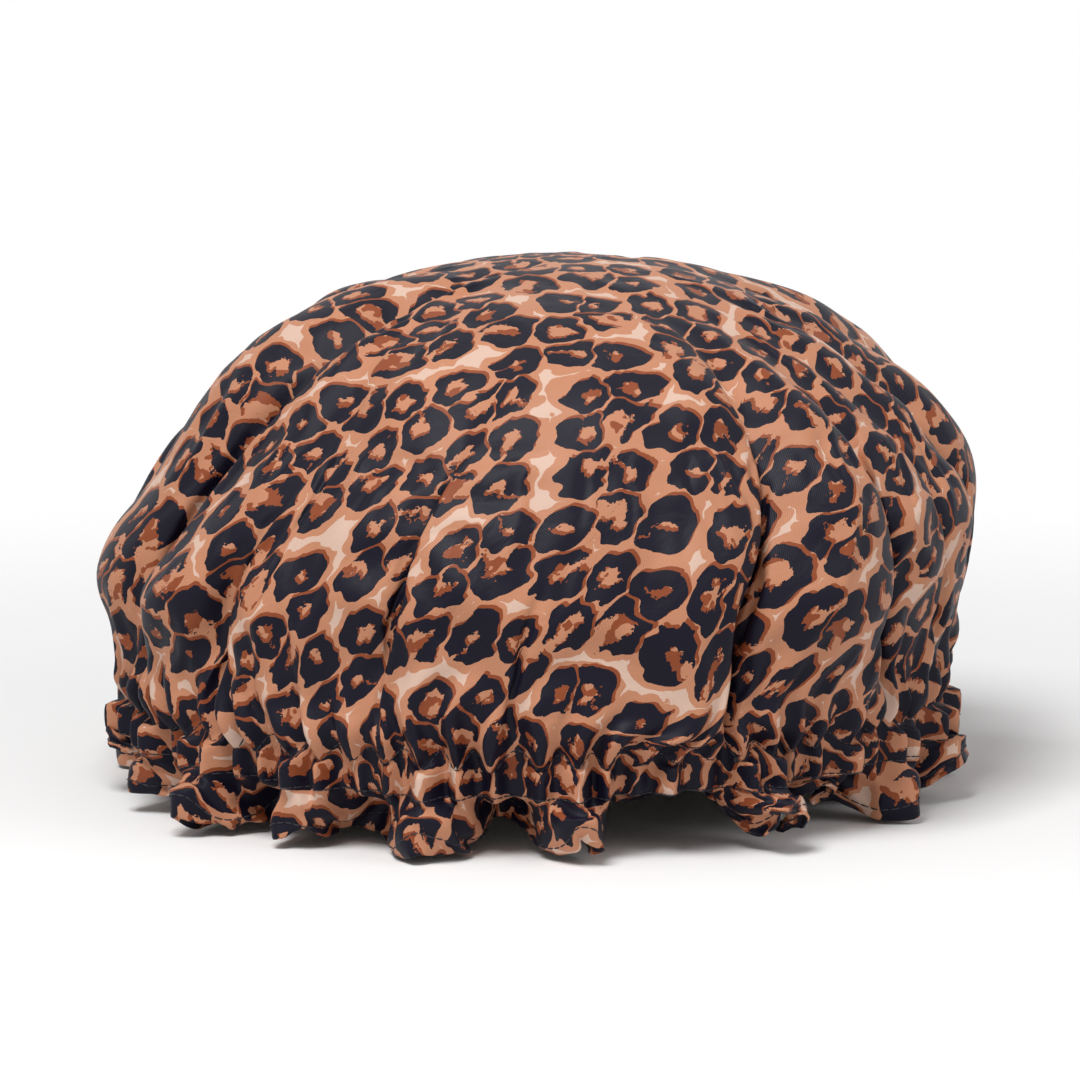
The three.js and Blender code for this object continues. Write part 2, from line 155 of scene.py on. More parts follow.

# %% [markdown]
# ## Gathering
# A simulation that starts from the flat disc would need thousands of steps. Instead the disc is folded
# roughly, so that every ring keeps its real length: where the cap is narrower than the flat ring, the
# spare length goes into folds. The crown gets a few deep tucks that run up from the ring, each with its own
# place, depth and height, as they lie in the photograph. Close to the ring the tucks break up into
# many small pleats, and the frill below swings in wide waves.

# %% Tucks of the crown and waves of the frill
# Each tuck: degrees at the ring, half way and at the top, share of cloth, how far up, how far it laps over
TUCKS = np.array([
    (-71, -64, -52, 2.6, 1.00, 1.2), (-50, -46, -42, 1.3, 0.42, -0.5), (-36, -37, -38, 0.6, 0.30, 0.4),
    (-23, -17, -12, 1.1, 0.62, 0.7), (-3, 1, 3, 0.6, 0.34, -0.4), (14, 18, 20, 0.35, 0.25, 0.0),
    (28, 40, 36, 2.0, 0.80, -0.9), (58, 54, 53, 1.4, 0.70, 0.6), (72, 68, 62, 0.9, 0.95, -0.5),
    (91, 84, 82, 1.0, 0.55, 0.6), (113, 108, 104, 1.2, 0.85, -0.7), (137, 141, 140, 1.3, 0.65, 0.7),
    (158, 156, 158, 0.7, 0.38, -0.4), (181, 178, 184, 1.3, 0.90, 0.7), (204, 208, 205, 0.8, 0.45, -0.6),
    (228, 222, 226, 1.4, 0.85, 0.8), (249, 253, 250, 0.8, 0.40, -0.5), (268, 266, 268, 1.1, 0.65, 0.7),
])
# Each wave of the frill: degrees where it starts, share of cloth, reach outward, lift of its hem in mm at its
# crest, and where it starts
WAVES = np.array([
    (-93, 1.0, 0.4, 16, 11), (-76, 1.0, 0.6, 8, 9), (-61, 1.1, 1.0, 0, 4), (-43, 0.9, 0.4, 4, 8),
    (-25, 1.0, 0.6, 0, 4), (-4, 1.1, 0.8, 0, 7), (15, 0.5, -0.4, 14, 13), (24, 1.3, 1.2, 0, 11),
    (42, 0.6, -0.2, 12, 10), (55, 1.0, 0.9, 1, 10), (70, 1.2, 0.6, 10, 7), (88, 0.9, 0.7, 1, 6),
    (106, 1.1, 0.6, 3, 6), (129, 0.9, 0.5, 0, 3), (146, 1.1, 0.45, 2, 5), (170, 0.8, 0.5, 0, 3),
    (187, 1.1, 0.6, 4, 6), (209, 1.0, 0.6, 0, 4), (231, 1.1, 0.7, 2, 6), (250, 0.9, 0.7, 1, 5),
])
PLEATS = 72
print("tucks:", len(TUCKS), "waves:", len(WAVES), "pleats:", PLEATS)

# %% The crown's outline from the top down to the ring
CROWN_HALF_WIDTH, CROWN_HALF_DEPTH = BAND_HALF_WIDTH + 8 * MM, BAND_HALF_DEPTH + 11 * MM
WIDEST_HEIGHT = 66 * MM
OUTLINE_POWER, UNDER_OUT_POWER, UNDER_DOWN_POWER = 0.93, 0.7, 0.9
UPPER_POINTS, UNDER_POINTS = 80, 30
CHANNEL_OUT = 3 * MM
CHANNEL_HALF = 7 * MM
OVERHANG_HEIGHT = BAND_HEIGHT + CHANNEL_HALF


def crown_outline():
    """Points (distance from the axis, height), and the length along them."""
    down = np.radians(np.linspace(0, 90, UPPER_POINTS))
    upper = np.stack([CROWN_HALF_WIDTH * np.sin(down) ** OUTLINE_POWER,
                      WIDEST_HEIGHT + (CROWN_TOP - WIDEST_HEIGHT) * np.cos(down) ** OUTLINE_POWER], 1)
    under = np.radians(np.linspace(3, 90, UNDER_POINTS))
    ring, drop = BAND_HALF_WIDTH + CHANNEL_OUT, WIDEST_HEIGHT - OVERHANG_HEIGHT
    lower = np.stack([ring + (CROWN_HALF_WIDTH - ring) * np.cos(under) ** UNDER_OUT_POWER,
                      WIDEST_HEIGHT - drop * np.sin(under) ** UNDER_DOWN_POWER], 1)
    outline = np.nan_to_num(np.concatenate([upper, lower]))
    return outline, np.r_[0, np.cumsum(np.hypot(*np.diff(outline, axis=0).T))]


outline, outline_length = crown_outline()
print("outline in mm:", round(outline_length[-1] / MM, 1), "cloth for it:", UPPER_ROW / MM)


# %% Helpers for folding one ring
def ease(low, high, value):
    """A soft step from 0 to 1."""
    t = np.clip((value - low) / (high - low), 0, 1)
    return t * t * (3 - 2 * t)


def soften(values, passes):
    """Averages neighbours round a ring."""
    for _ in range(passes):
        values = (np.roll(values, 1, 0) + 2 * values + np.roll(values, -1, 0)) / 4
    return values


def parts_along(lengths, arc, length):
    """Where points at these arcs of a ring fall among parts: along all, which part, and its start."""
    marks = np.r_[0, np.cumsum(lengths)]
    along = np.mod(arc * (marks[-1] / length), marks[-1])
    k = np.clip(np.searchsorted(marks, along, side="right") - 1, 0, len(lengths) - 1)
    return along, k, marks[k]


def spans_between(angles, mean_radius):
    """The stretch of ring from each angle to the next."""
    return np.diff(np.r_[angles, angles[0] + math.tau]) * mean_radius


print("a quarter of the way is eased to", ease(0, 1, 0.25))


# %% Tucks that take up the spare cloth
LIP, LIP_SHARE = 2.4 * MM, 0.12
PILLOW_POWER = 0.7
TINY = 1e-9


def tucked(angles, depths, laps, pillows, arc, length, mean_radius):
    """Lays a ring of cloth in smooth panels with a deep narrow tuck at each angle."""
    panels = spans_between(angles, mean_radius)
    next_depth, next_lap = np.roll(depths, -1), np.roll(laps, -1)
    along, k, start = parts_along(panels + depths + next_depth, arc, length)
    inside, here, after, panel = along - start, depths[k], next_depth[k], panels[k]
    lip = np.minimum(LIP, panel * LIP_SHARE)
    rising, falling = inside < here, inside > here + panel
    left = inside - here - panel
    across = np.where(rising, lip * inside / np.maximum(here, TINY),
                      np.where(falling, panel - lip + lip * left / np.maximum(after, TINY),
                               lip + (panel - 2 * lip) * (inside - here) / panel))
    pillow = pillows[k] * np.sin(math.pi * np.clip((inside - here) / panel, 0, 1)) ** PILLOW_POWER
    depth = np.where(rising, inside - here, np.where(falling, -left, pillow))
    across += np.where(rising, -depth * laps[k], 0) + np.where(falling, -depth * next_lap[k], 0)
    return angles[k] + across / mean_radius, depth - pillows.mean() * 0.5


print("lip of a wide panel in mm:", LIP / MM)


# %% Waves that keep their length
SWING_STEPS, WAVE_STEPS = 60, 120


def share_of_span(swing):
    """How much shorter a wavy line is than its length, when it swings by this angle."""
    turn = (np.arange(SWING_STEPS) + 0.5) / SWING_STEPS * math.pi
    return np.cos(swing * np.sin(turn)).mean()


SWINGS = np.linspace(0, 2, SWING_STEPS)
SPANS = np.array([share_of_span(swing) for swing in SWINGS])


def swing_for(fullness):
    """The swing at which a wave is so many times longer than its span."""
    return np.interp(-1 / np.maximum(fullness, 1), -SPANS, SWINGS)


def waved(angles, shares, arc, length, mean_radius, fullness):
    """Lays a ring of cloth in round waves, one from each angle to the next."""
    spans = spans_between(angles, mean_radius)
    lengths = spans * (1 + (fullness - 1) * shares * len(shares) / shares.sum())
    along, k, start = parts_along(lengths, arc, length)
    place = (along - start) / lengths[k]
    across, out = np.empty_like(along), np.empty_like(along)
    grid = np.linspace(0, 1, WAVE_STEPS + 1)
    middles = (grid[1:] + grid[:-1]) / 2
    for i, span in enumerate(spans):
        slope = swing_for(lengths[i] / span) * np.sin(math.tau * middles)
        x = np.r_[0, np.cumsum(np.cos(slope))]
        y = np.r_[0, np.cumsum(np.sin(slope))] / WAVE_STEPS * lengths[i]
        mine = k == i
        across[mine] = np.interp(place[mine], grid, x * span / x[-1])
        out[mine] = np.interp(place[mine], grid, y - y.max() / 2)
    return angles[k] + across / mean_radius, out, k, place


print("swing of a wave twice as long as its span:", round(swing_for(2), 2))


# %% Small pleats near the ring
SHIFT_SPREAD, SIZE_SPREAD = 0.20, 0.25
pleat_random = np.random.default_rng(5)
pleat_shift = pleat_random.normal(0, SHIFT_SPREAD, PLEATS)
pleat_size = 1 + pleat_random.normal(0, SIZE_SPREAD, PLEATS)
PLEAT_HEIGHT_SHARE, PLEAT_OUT = 0.16, 0.6


def pleated(turn, height):
    """An uneven ripple round the ring."""
    phase = turn / math.tau * PLEATS
    k = np.floor(phase).astype(int) % PLEATS
    part = phase - np.floor(phase)
    shift, size = (each[k] * (1 - part) + each[(k + 1) % PLEATS] * part for each in (pleat_shift, pleat_size))
    return height * (np.cos(math.tau * (phase + shift)) * size + PLEAT_OUT)


print("smallest and largest pleat:", round(pleat_size.min(), 2), round(pleat_size.max(), 2))


# %% Fold one ring of the crown
PLEATS_FROM = 203 * MM
CHANNEL_COARSE = 0.12
TUCK_ENDS = 0.95, 1.28
TOP_REACHED, STRONGEST = 0.9, 1.3
TUCK_REST, DEEPEST_TUCK = 0.06, 0.42
PILLOW, WIDEST_PILLOW, FLATTER_PILLOW = 0.2, 60 * MM, 0.7
PILLOW_FADE = 190 * MM, 230 * MM


def crown_ring(turn, radius, mean_radius):
    """Angle and depth of each point of a ring above the stitches, and the share left for pleats."""
    at_ring, half_way, at_top, share, run, lap = TUCKS.T
    coarse = 1 - (1 - CHANNEL_COARSE) * ease(PLEATS_FROM, UPPER_ROW, radius)
    spare = max(math.tau * (radius - mean_radius) * coarse, 0)
    up = ease(0, TOP_REACHED, 1 - radius / UPPER_ROW)
    angles = np.radians(at_ring * (1 - up) ** 2 + 2 * half_way * up * (1 - up) + at_top * up * up)
    gaps = np.mod(np.roll(angles, -1) - angles, math.tau)
    room = (gaps + np.roll(gaps, 1)) / 2
    reached = ease(TUCK_ENDS[0] - run, TUCK_ENDS[1] - run, radius / UPPER_ROW)
    weight = share * room * (TUCK_REST + reached)
    depths = np.minimum(weight / weight.sum() * spare / 2, DEEPEST_TUCK * room * mean_radius)
    strength = np.minimum(share, STRONGEST) * reached * coarse
    pillows = PILLOW * np.minimum(gaps * mean_radius, WIDEST_PILLOW) * (strength + np.roll(strength, -1)) / 2
    pillows *= 1 - FLATTER_PILLOW * ease(*PILLOW_FADE, radius)
    arc = np.mod(turn - math.radians(at_ring[0]), math.tau) * radius
    angle, depth = tucked(angles, depths, lap / 2, pillows, arc, math.tau * radius, mean_radius)
    return angle, depth, coarse


print("angles of the tucks at the ring:", TUCKS[:, 0])

# %% Hang one ring of the frill
REACH_FROM, REACH_GAIN = 0.55, 0.6
FLARE_FROM, FLARE_GAIN = -0.28, 0.25
SIDEWAYS_SHARE, MOST_SIDEWAYS = 0.95, 0.92
HANG_SHARE, HANG_EXTRA = 0.97, 0.08
LIFT_OUT, NOTCH_IN = 0.3, 0.6


def hung(depth, k, place, drop):
    """Depth and fall of a frill ring: its crests reach out, and its hem rises as each wave says."""
    reach, lift, notch = WAVES.T[2:]
    fallen = drop / (HEM - LOWER_ROW)
    crest = np.sin(math.pi * place) ** 2
    depth = depth * (1 - crest + crest * (REACH_FROM + REACH_GAIN * reach[k]))
    sideways = np.minimum(np.abs(depth) * SIDEWAYS_SHARE, drop * MOST_SIDEWAYS)
    fall = np.sqrt(drop * drop - sideways * sideways) * HANG_SHARE + drop * HANG_EXTRA
    raised = lift[k] * MM * crest * fallen
    notched = (notch[k] * (1 - place) + np.roll(notch, -1)[k] * place) * MM * (1 - crest) * fallen
    depth = depth + drop * (FLARE_GAIN * reach[k] + FLARE_FROM) + raised * LIFT_OUT - notched * NOTCH_IN
    return depth, fall - raised - notched


print("highest lift of the hem in mm:", WAVES[:, 3].max())


# %% The middle line that the folds lie round
OUTLINE_STEP = 0.1 * MM
CHANNEL_BULGE = 0.8 * MM


def middle_line(radius):
    """A ring's half width, height and mean radius, its depth by its width, and which way it faces."""
    if radius > UPPER_ROW:
        share = min((radius - UPPER_ROW) / (LOWER_ROW - UPPER_ROW), 1)
        out = BAND_HALF_WIDTH + CHANNEL_OUT + CHANNEL_BULGE * math.sin(math.pi * share)
        flatness = (BAND_HALF_DEPTH + CHANNEL_OUT) / (BAND_HALF_WIDTH + CHANNEL_OUT)
        mean_radius = (BAND_HALF_WIDTH + BAND_HALF_DEPTH) / 2 + CHANNEL_OUT
        return out, BAND_HEIGHT + CHANNEL_HALF * (1 - 2 * share), mean_radius, flatness, 1, 0
    length = radius / UPPER_ROW * outline_length[-1]
    before, (out, height), after = (
        np.array([np.interp(length + step, outline_length, outline[:, i]) for i in (0, 1)])
        for step in (-OUTLINE_STEP, 0, OUTLINE_STEP))
    run_out, run_up = after - before
    run = math.hypot(run_out, run_up)
    flatness = CROWN_HALF_DEPTH / CROWN_HALF_WIDTH
    return out, height, out * (1 + flatness) / 2, flatness, -run_up / run, run_out / run


print("half width at the lower row in mm:", round(middle_line(LOWER_ROW)[0] / MM, 1))


# %% Fold the whole disc
CROWN_LEAN, LEAN_HEIGHTS = 8 * MM, (60 * MM, 115 * MM)
LEFT_SLACK, SLACK_FROM, SLACK_TO, LEFT_SIDE = 8 * MM, (72 * MM, 100 * MM), (125 * MM, 160 * MM), (0.3, 1)
BULGE_ANGLE, BULGE_SPREAD, BULGE_DROP, BULGE_OUT = 21, 10, 12 * MM, 5 * MM
BULGE_FROM, BULGE_TO = (150 * MM, 208 * MM), (216 * MM, UPPER_ROW - 2 * MM)
FRILL_COARSE, FRILL_COARSE_FROM = 0.84, 0.65
FRILL_PLEATS_LOST, PLEATS_LOST_AT = 0.9, 0.8
PRESSED, PRESS_SOFTNESS = -1.2 * MM, 0.6 * MM
CROWN_PASSES, FRILL_PASSES = 3, 2


def folded_ring(turn, radius, count):
    """Where the points of one flat ring go."""
    on_crown, drop = radius <= UPPER_ROW, max(radius - LOWER_ROW, 0)
    out, height, mean_radius, flatness, face_out, face_up = middle_line(radius)
    fallen, fall = drop / (HEM - LOWER_ROW), 0
    if on_crown:
        angle, depth, coarse = crown_ring(turn, radius, mean_radius)
        passes = max(CROWN_PASSES * count // POINTS_ROUND, 1)
    else:
        coarse = CHANNEL_COARSE + FRILL_COARSE * ease(0, FRILL_COARSE_FROM, fallen)
        angles, shares = np.radians(WAVES[:, 0]), WAVES[:, 1]
        arc = np.mod(turn - angles[0], math.tau) * radius
        angle, depth, k, place = waved(angles, shares, arc, math.tau * radius, mean_radius,
                                       1 + (radius / mean_radius - 1) * coarse)
        passes = FRILL_PASSES
    angle = np.arctan2(soften(np.sin(angle), passes), soften(np.cos(angle), passes))
    depth = soften(depth, passes)
    fullness = radius / mean_radius / (1 + (radius / mean_radius - 1) * coarse)
    pleat_height = math.tau * mean_radius / PLEATS * fullness * PLEAT_HEIGHT_SHARE * swing_for(fullness)
    depth = depth + pleated(turn, pleat_height * (1 - FRILL_PLEATS_LOST * ease(0, PLEATS_LOST_AT, fallen)))
    if drop:
        depth, fall = hung(depth, k, place, drop)
    elif not on_crown:
        depth = PRESSED + np.logaddexp(0, (depth - PRESSED) / PRESS_SOFTNESS) * PRESS_SOFTNESS
    outward = np.stack([np.sin(angle), -np.cos(angle), 0 * angle], 1)
    slack = LEFT_SLACK * ease(*SLACK_FROM, height) * (1 - ease(*SLACK_TO, height))
    lean = CROWN_LEAN * ease(*LEAN_HEIGHTS, height) + slack * ease(*LEFT_SIDE, -np.sin(angle))
    place_at = np.stack([out * np.sin(angle) + lean, -out * flatness * np.cos(angle), 0 * angle + height], 1)
    place_at += outward * (depth * face_out)[:, None]
    place_at[:, 2] += depth * face_up - fall
    if on_crown:
        away = np.mod(np.degrees(angle) - BULGE_ANGLE + 180, 360) - 180
        bulge = np.exp(-(away / BULGE_SPREAD) ** 2)
        bulge *= ease(*BULGE_FROM, radius) * (1 - ease(*BULGE_TO, radius))
        place_at[:, 2] -= BULGE_DROP * bulge
        place_at += outward * (BULGE_OUT * bulge)[:, None]
    return place_at


start_points = np.zeros((len(flat_points), 3))
start_points[0] = (CROWN_LEAN, 0, CROWN_TOP)
for (radius, count), start in zip(rings[1:], ring_starts[1:]):
    turn = math.tau * np.arange(count) / count
    start_points[start:start + count] = folded_ring(turn, radius, count)
print("folded box in mm:", (start_points.min(0) / MM).round(1), (start_points.max(0) / MM).round(1))

# %% Break the evenness
UNEVEN, LUMPS_PER_METRE = 2 * MM, 45
EVEN_TOP, EVEN_NEAR_ROW = (20 * MM, 120 * MM), 20 * MM
CAP_MIDDLE = np.array([0, 0, 60 * MM])
uneven = np.array([noise.noise(Vector((x, y, 3.3))) for x, y in flat_points * LUMPS_PER_METRE])
uneven *= ease(*EVEN_TOP, flat_radius) * (1 - ease(UPPER_ROW - EVEN_NEAR_ROW, UPPER_ROW, flat_radius))
from_middle = start_points - CAP_MIDDLE
from_middle /= np.linalg.norm(from_middle, axis=1)[:, None]
start_points += from_middle * (uneven * UNEVEN)[:, None]
print("unevenness added, up to mm:", round(np.abs(uneven).max() * UNEVEN / MM, 2))

# %% [markdown]
# ## Letting the cloth settle
# Blender's cloth is given the flat disc as its rest shape, through a shape key, so every thread wants its
# true length back. The rows on the ring are pinned hard, and the top of the crown softly, because in the
# photograph something soft fills the cap. A little pressure inside puffs the panels, and
# self-collision keeps the folds from passing through each other. The result is read from the mesh and
# the working object is deleted, so no simulation stays in the file.


# %% Points into a mesh and back
def new_mesh(name, points, faces):
    """A mesh from points and faces."""
    mesh = bpy.data.meshes.new(name)
    mesh.from_pydata([tuple(p) for p in points], [], faces)
    return mesh


def read_vectors(items, key):
    """A vector of each vertex or normal of a mesh."""
    values = np.empty(len(items) * 3, np.float32)
    items.foreach_get(key, values)
    return values.reshape(-1, 3).astype(float)


def evaluated_points(piece):
    """The points of an object after its modifiers."""
    return read_vectors(piece.evaluated_get(bpy.context.evaluated_depsgraph_get()).data.vertices, "co")


print("meshes so far:", len(bpy.data.meshes))


# %% Settle
SETTLE_FRAMES = 14
SOFT_HOLD, SOFT_HOLD_FADE = 0.2, (140 * MM, 205 * MM)
PUFF, PUFF_FADE = 5.0, (UPPER_ROW - 20 * MM, UPPER_ROW - 4 * MM)
ON_ROW = 0.1 * MM


def settled(start, flat):
    """The points after the cloth simulation."""
    mesh = new_mesh("settling", start, cloth_faces)
    cloth = bpy.data.objects.new("settling", mesh)
    bpy.context.collection.objects.link(cloth)
    bpy.context.view_layer.objects.active = cloth
    cloth.shape_key_add(name="folded")
    cut = cloth.shape_key_add(name="cut")
    cut.data.foreach_set("co", np.c_[flat, np.zeros(len(flat))].astype(np.float32).ravel())
    cut.value = 0
    held = cloth.vertex_groups.new(name="held")
    on_rows = (flat_radius > UPPER_ROW - ON_ROW) & (flat_radius < LOWER_ROW + ON_ROW)
    held.add([int(i) for i in np.flatnonzero(on_rows)], 1.0, "REPLACE")
    for i in np.flatnonzero(flat_radius < SOFT_HOLD_FADE[1]):
        held.add([int(i)], float(SOFT_HOLD * (1 - ease(*SOFT_HOLD_FADE, flat_radius[i]))), "REPLACE")
    puffed = cloth.vertex_groups.new(name="puffed")
    puff = 1 - ease(*PUFF_FADE, flat_radius)
    for i in np.flatnonzero(puff > 0):
        puffed.add([int(i)], float(puff[i]), "REPLACE")
    modifier = cloth.modifiers.new("cloth", "CLOTH")
    rules = modifier.settings
    rules.quality = 5
    rules.mass = 0.01
    rules.tension_stiffness = 15
    rules.compression_stiffness = rules.shear_stiffness = 5
    rules.bending_stiffness = rules.bending_damping = 0.5
    rules.tension_damping = rules.compression_damping = rules.shear_damping = 5
    rules.vertex_group_mass = "held"
    rules.rest_shape_key = cut
    rules.use_pressure = True
    rules.uniform_pressure_force = PUFF
    rules.vertex_group_pressure = "puffed"
    rules.effector_weights.gravity = 0
    touch = modifier.collision_settings
    touch.use_collision = False
    touch.use_self_collision = True
    touch.self_distance_min = 1.2 * MM
    touch.collision_quality = 2
    for number in range(1, SETTLE_FRAMES + 1):
        bpy.context.scene.frame_set(number)
    points = evaluated_points(cloth)
    bpy.data.objects.remove(cloth)
    bpy.data.meshes.remove(mesh)
    bpy.context.scene.frame_set(1)
    return points


cloth_points = settled(start_points, flat_points)
print("moved on average by mm:", round(np.linalg.norm(cloth_points - start_points, axis=1).mean() / MM, 2))

# %% Rest the frill on the table
LOWEST_CLOTH, TABLE_SOFTNESS = 1.2 * MM, 0.8 * MM
above = cloth_points[:, 2] - LOWEST_CLOTH
cloth_points[:, 2] = LOWEST_CLOTH + np.logaddexp(0, above / TABLE_SOFTNESS) * TABLE_SOFTNESS
print("lowest cloth in mm:", round(cloth_points[:, 2].min() / MM, 2))

# %% [markdown]
# ## Printed cloth
# The printed cloth goes down to the hem, turns round it and comes up again inside for a few millimetres, so
# its raw edge is out of sight. The turned edge is made from the same rings, set a little inward. A
# subdivision surface rounds everything, and the flat cut is kept as a UV map, on which the print will lie.

# %% Mesh helpers
CUT_SPAN = 600 * MM


def face_out_of(points, faces):
    """The direction away from the cloth at each point, averaged over its faces."""
    mesh = new_mesh("facing", points, faces)
    facing = read_vectors(mesh.vertex_normals, "vector")
    bpy.data.meshes.remove(mesh)
    return facing


def new_piece(name, points, faces, flat=None, smooth=True):
    """A mesh object, with the flat cut as its UV map where it is cloth."""
    mesh = new_mesh(name, points, faces)
    mesh.polygons.foreach_set("use_smooth", [smooth] * len(mesh.polygons))
    if flat is not None:
        corners = np.empty(len(mesh.loops), np.int32)
        mesh.loops.foreach_get("vertex_index", corners)
        layer = mesh.uv_layers.new(name="cut_pattern")
        layer.data.foreach_set("uv", (flat[corners] / CUT_SPAN + 0.5).astype(np.float32).ravel())
    piece = bpy.data.objects.new(name, mesh)
    bpy.context.collection.objects.link(piece)
    return piece


def rounded(piece):
    """The piece, with a subdivision surface."""
    rounding = piece.modifiers.new("rounding", "SUBSURF")
    rounding.levels = rounding.render_levels = 1
    return piece


def ring_slice(radius):
    """Which points lie on the ring of this flat radius."""
    k = int(np.argmin(np.abs(ring_radii - radius)))
    return slice(ring_starts[k], ring_starts[k] + rings[k][1])


print("points on the hem:", ring_slice(HEM))

# %% Turn the hem and make the shell
FOLD_ROOM = 1.1 * MM
TURN_LENGTH = 1.6 * FOLD_ROOM
cloth_facing = face_out_of(cloth_points, cloth_faces)
hem, before_hem = ring_slice(HEM), ring_slice(LINING_RADIUS)
down = cloth_points[hem] - cloth_points[before_hem]
down /= np.linalg.norm(down, axis=1)[:, None]
shell_points, shell_flat, shell_faces = [cloth_points], [flat_points], list(cloth_faces)
last, added = hem.start, len(cloth_points)
turned = []
for turn in np.radians((45, 90, 135)):
    turned.append((cloth_points[hem] + down * (FOLD_ROOM / 2 * math.sin(turn))
                   - cloth_facing[hem] * (FOLD_ROOM / 2 * (1 - math.cos(turn))), HEM + FOLD_ROOM * turn / 2))
for radius in (HEM, LINING_RADIUS, HEM_STITCH, TURN_EDGE):
    part = ring_slice(radius)
    turned.append((cloth_points[part] - cloth_facing[part] * FOLD_ROOM, 2 * HEM - radius + TURN_LENGTH))
for points, radius in turned:
    shell_points.append(points)
    shell_flat.append(flat_points[hem] * (radius / HEM))
    shell_faces += band_faces(last, added, POINTS_ROUND)
    last, added = added, added + POINTS_ROUND
shell = rounded(new_piece("printed_shell", np.concatenate(shell_points), shell_faces,
                          np.concatenate(shell_flat)))

# %% Read the rounded cloth back
# The first points of a rounded mesh are those of the rough one, on the smooth surface. All that is sewn
# to the cloth is placed from them.
surface = evaluated_points(shell)[:len(cloth_points)]
facing = face_out_of(surface, cloth_faces)
print("rounding moved points by mm:", round(np.linalg.norm(surface - cloth_points, axis=1).max() / MM, 2))

# %% [markdown]
# ## Lining
# Inside the printed cloth is a thin milky film that keeps the hair dry. It was cut with the cloth, so it has
# the same folds. It is the cloth's own mesh moved inward by half a millimetre, and its rim ends in the
# fold of the hem, where the stitches hold it. It is rounded in the same way, so the two don't cross.

# %% Lining
LINING_IN, LEAST_IN_SHARE = 0.5 * MM, 0.25
TIGHT_TO_OPEN = 0.55, 0.95


def evenness(*normals):
    """How alike three sets of directions are, up to 1 where they are the same."""
    return np.linalg.norm(sum(normals), axis=1) / 3


# In a tight bend the film would come out on the far side, so it lies closer there. Its last row bends
# across the ring as the cloth's next row would bend it.
openness = np.ones(len(cloth_points))
for (radius, count), start in zip(rings[1:-1], ring_starts[1:-1]):
    inner, here, outer = (slice(start + step * count, start + (step + 1) * count) for step in (-1, 0, 1))
    part = cloth_facing[here]
    openness[here] = evenness(np.roll(part, 1, 0), part, np.roll(part, -1, 0))
    if radius > UPPER_ROW:
        across = evenness(cloth_facing[inner], part, cloth_facing[outer])
        openness[here] = np.minimum(openness[here], across)
inset = LINING_IN * (LEAST_IN_SHARE + (1 - LEAST_IN_SHARE) * ease(*TIGHT_TO_OPEN, openness))
film_points = cloth_points.copy()
before, here, after = (film_points[ring_slice(radius)] for radius in (HEM_STITCH, LINING_RADIUS, HEM))
film_points[before_hem] = (4 * here + after + before) / 6
lined = before_hem.stop
lining_points = (film_points - cloth_facing * inset[:, None])[:lined]
lining_faces = [face for face in cloth_faces if max(face) < lined]
lining = rounded(new_piece("film_lining", lining_points, lining_faces, flat_points[:lined]))
print("lining faces before rounding:", len(lining_faces))

# %% [markdown]
# ## Elastic
# The elastic is a flat knitted strip with ribs along it, closed to a ring with a lap at the back. It is made
# as a strip whose cross-section has rounded edges and shallow ribs, swept along the ring. The last
# bit slides under the first, and a zigzag of thread holds the lap.

# %% Elastic
ELASTIC_WIDTH = round(band_high.z - band_low.z, 4)
ELASTIC_STEPS = 420
EDGE_ROUNDING = 0.3 * MM
LAP = 24 * MM
LAP_STEP_IN = 1.3 * MM
LAP_SLIDE_SHARES = 1.4, 0.6
RIBS, RIB_DEPTH = 5, 0.10 * MM


def ring_point(degrees, inward, height):
    """A point beside the ring's middle line; degrees run from the front to the right."""
    turn = math.radians(degrees)
    return ((BAND_HALF_WIDTH - inward) * math.sin(turn), -(BAND_HALF_DEPTH - inward) * math.cos(turn),
            BAND_HEIGHT + height)


def elastic_section():
    """Points (inward, height) round the strip's cross-section."""
    half, edge = ELASTIC_WIDTH / 2, ELASTIC_THICKNESS / 2
    heights = np.linspace(half - EDGE_ROUNDING, -half + EDGE_ROUNDING, 6 * RIBS + 1)
    rib = RIB_DEPTH * (np.cos(math.tau * np.linspace(0, RIBS, len(heights))) - 1) / 2
    outer = [(-edge - r, h) for r, h in zip(rib, heights)]
    inner = [(edge + r, h) for r, h in zip(rib, heights)][::-1]
    foot = [(-edge / 2, -half), (edge / 2, -half)]
    return outer + foot + inner + [(edge / 2, half), (-edge / 2, half)]


def strip(name, section, stations):
    """A closed strip through stations of (degrees, extra inward)."""
    points = [ring_point(degrees, inward + more, height)
              for degrees, more in stations for inward, height in section]
    count, faces = len(section), []
    for k in range(len(stations) - 1):
        faces += [tuple(reversed(face)) for face in band_faces(k * count, (k + 1) * count, count)]
    faces += [tuple(range(count))[::-1], tuple(range(len(points) - count, len(points)))]
    return new_piece(name, points, [face[::-1] for face in faces])


lap_degrees = math.degrees(LAP / (BAND_HALF_WIDTH + BAND_HALF_DEPTH) * 2)
elastic_turns = np.linspace(180 - lap_degrees / 2, 540 + lap_degrees / 2, ELASTIC_STEPS)
slide = [540 - lap_degrees * share for share in LAP_SLIDE_SHARES]
elastic = strip("elastic_ring", elastic_section(),
                list(zip(elastic_turns, ease(*slide, elastic_turns) * LAP_STEP_IN)))
elastic_length = math.radians(360 + lap_degrees) * (BAND_HALF_WIDTH + BAND_HALF_DEPTH) / 2
print("elastic length in mm:", round(elastic_length / MM))

# %% [markdown]
# ## Thread
# Sewing thread shows as short raised stitches with a dip where the needle went in. Each stitch is a small
# bent tube that follows the cloth. To follow it closely, the points of a ring are joined by a
# smooth curve, not by straight pieces, because a pleat is only about seven points long.

# %% Stitches
STITCH = 3.0 * MM
STITCH_GAP = 0.5 * MM
STITCH_DIP, STITCH_LIFT = 0.22 * MM, 0.12 * MM
STITCH_POINTS = 6
THREAD_RADIUS = 0.24 * MM
TUBE_SIDES = 6


